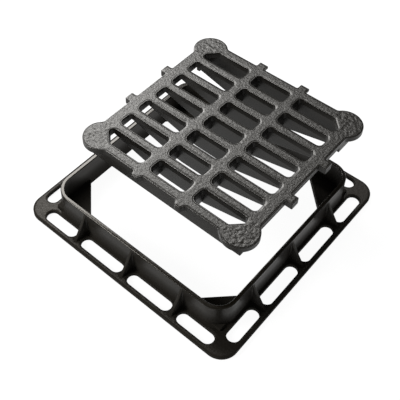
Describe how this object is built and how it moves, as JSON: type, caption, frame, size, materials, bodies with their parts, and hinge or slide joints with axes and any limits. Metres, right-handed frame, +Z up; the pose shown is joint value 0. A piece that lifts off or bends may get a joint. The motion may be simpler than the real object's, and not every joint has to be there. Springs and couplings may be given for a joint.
{
  "type": "gully grate",
  "caption": "Square cast iron gully top: slotted grate with round corner ears, lifted clear of its flanged frame with gussets, corner seats and bedding slots.",
  "frame": {"origin": "centre of the frame's underside", "axes": "+X and +Y along the sides of the square frame, +Z up; the grate's slots run along X and the lifted grate is set back towards +Y"},
  "size_m": [0.5, 0.503, 0.17],
  "materials": {
    "frame_iron": "black bitumen coat, satin, smooth on the wall and finely grained on the flange",
    "grate_iron": "black bitumen coat, satin, with a coarse cast grain on the upper face"
  },
  "bodies": {
    "root": {"frame": "frame_iron", "grate": "grate_iron"}
  },
  "joints": []
}
